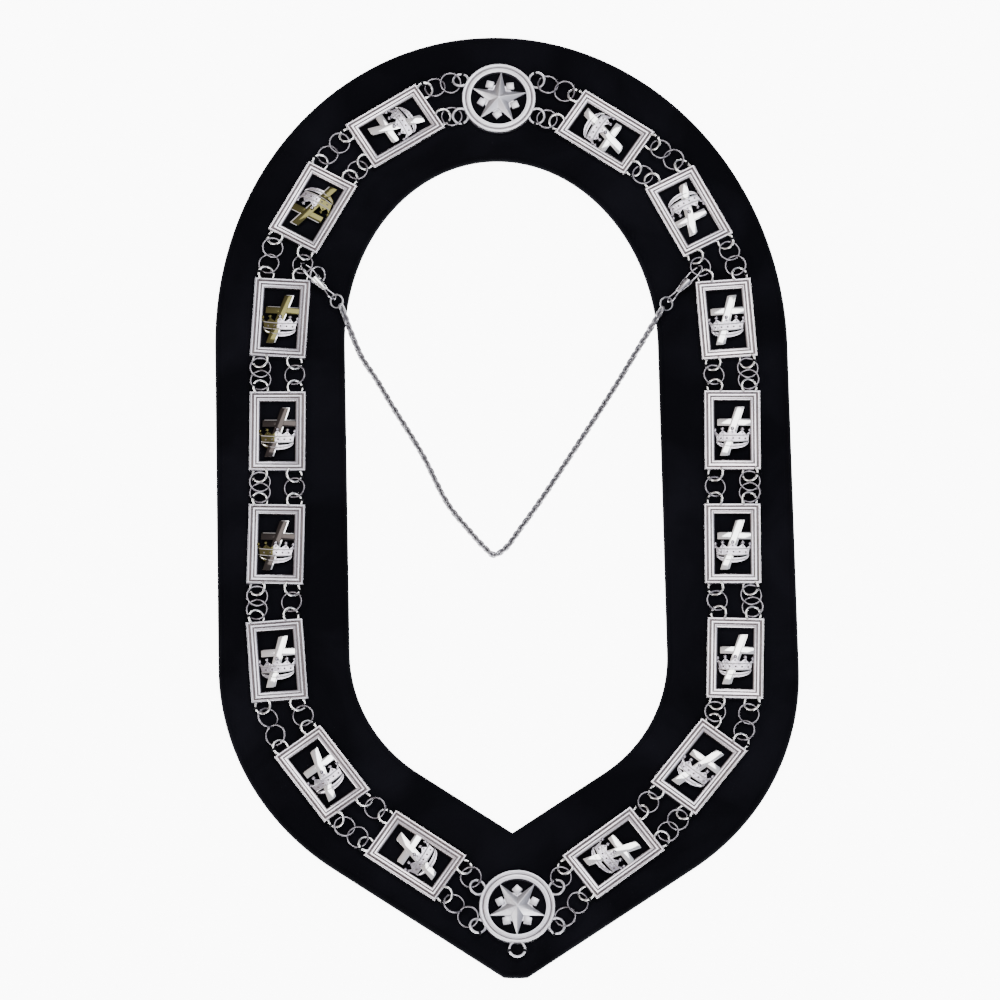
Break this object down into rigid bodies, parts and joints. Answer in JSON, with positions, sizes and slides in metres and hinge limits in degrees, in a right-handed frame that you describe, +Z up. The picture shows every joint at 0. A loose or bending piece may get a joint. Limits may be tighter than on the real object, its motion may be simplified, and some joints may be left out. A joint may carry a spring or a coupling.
{
  "type": "chain collar",
  "caption": "Padded black velvet collar band with a double chain of rectangular openwork plaques and two star medallions, closed by a safety chain with snap clasps.",
  "frame": {"origin": "centre of the bounding box in X and Y, at the level of the velvet's underside", "axes": "X across the collar, Y from its front point up to the back of the neck, Z up out of the face side; it lies flat on its back, face up"},
  "size_m": [0.3504, 0.601, 0.0111],
  "materials": {
    "velvet": "deep black velvet with a soft nap, padded",
    "silver_castings": "satin silver plate, polished on the raised cross and crown",
    "steel_rings": "plain steel-coloured wire, lightly polished"
  },
  "bodies": {
    "collar": {"velvet_band": "velvet", "medallion_top": "silver_castings", "medallion_bottom": "silver_castings", "clasp_left": "steel_rings", "clasp_right": "steel_rings", "safety_chain": "steel_rings", "plaque_left_1": "silver_castings", "plaque_left_2": "silver_castings", "plaque_left_3": "silver_castings", "plaque_left_4": "silver_castings", "plaque_left_5": "silver_castings", "plaque_left_6": "silver_castings", "plaque_left_7": "silver_castings", "plaque_left_8": "silver_castings", "plaque_right_1": "silver_castings", "plaque_right_2": "silver_castings", "plaque_right_3": "silver_castings", "plaque_right_4": "silver_castings", "plaque_right_5": "silver_castings", "plaque_right_6": "silver_castings", "plaque_right_7": "silver_castings", "plaque_right_8": "silver_castings", "outer_rings_left_1": "steel_rings", "outer_rings_left_2": "steel_rings", "outer_rings_left_3": "steel_rings", "outer_rings_left_4": "steel_rings", "outer_rings_left_5": "steel_rings", "outer_rings_left_6": "steel_rings", "outer_rings_left_7": "steel_rings", "outer_rings_left_8": "steel_rings", "outer_rings_left_9": "steel_rings", "outer_rings_right_1": "steel_rings", "outer_rings_right_2": "steel_rings", "outer_rings_right_3": "steel_rings", "outer_rings_right_4": "steel_rings", "outer_rings_right_5": "steel_rings", "outer_rings_right_6": "steel_rings", "outer_rings_right_7": "steel_rings", "outer_rings_right_8": "steel_rings", "outer_rings_right_9": "steel_rings", "inner_ring_left_1": "steel_rings", "inner_ring_left_2": "steel_rings", "inner_ring_left_3": "steel_rings", "inner_ring_left_4": "steel_rings", "inner_ring_left_5": "steel_rings", "inner_ring_left_6": "steel_rings", "inner_ring_left_7": "steel_rings", "inner_ring_left_8": "steel_rings", "inner_ring_left_9": "steel_rings", "inner_ring_right_1": "steel_rings", "inner_ring_right_2": "steel_rings", "inner_ring_right_3": "steel_rings", "inner_ring_right_4": "steel_rings", "inner_ring_right_5": "steel_rings", "inner_ring_right_6": "steel_rings", "inner_ring_right_7": "steel_rings", "inner_ring_right_8": "steel_rings", "inner_ring_right_9": "steel_rings"},
    "left_lever": {"clasp_lever_left": "steel_rings"},
    "right_lever": {"clasp_lever_right": "steel_rings"}
  },
  "joints": [
    {"name": "left_lever_pivot", "type": "hinge", "parent": "collar", "child": "left_lever", "pos_m": [-0.11225, 0.14431, 0.00623], "axis": [0.4714, 0.4378, 0.7656], "range_deg": [0, 10], "stiffness_Nm_per_rad": 0.01},
    {"name": "right_lever_pivot", "type": "hinge", "parent": "collar", "child": "right_lever", "pos_m": [0.10814, 0.14266, 0.00623], "axis": [0.4714, -0.4378, -0.7656], "range_deg": [0, 10], "stiffness_Nm_per_rad": 0.01}
  ]
}
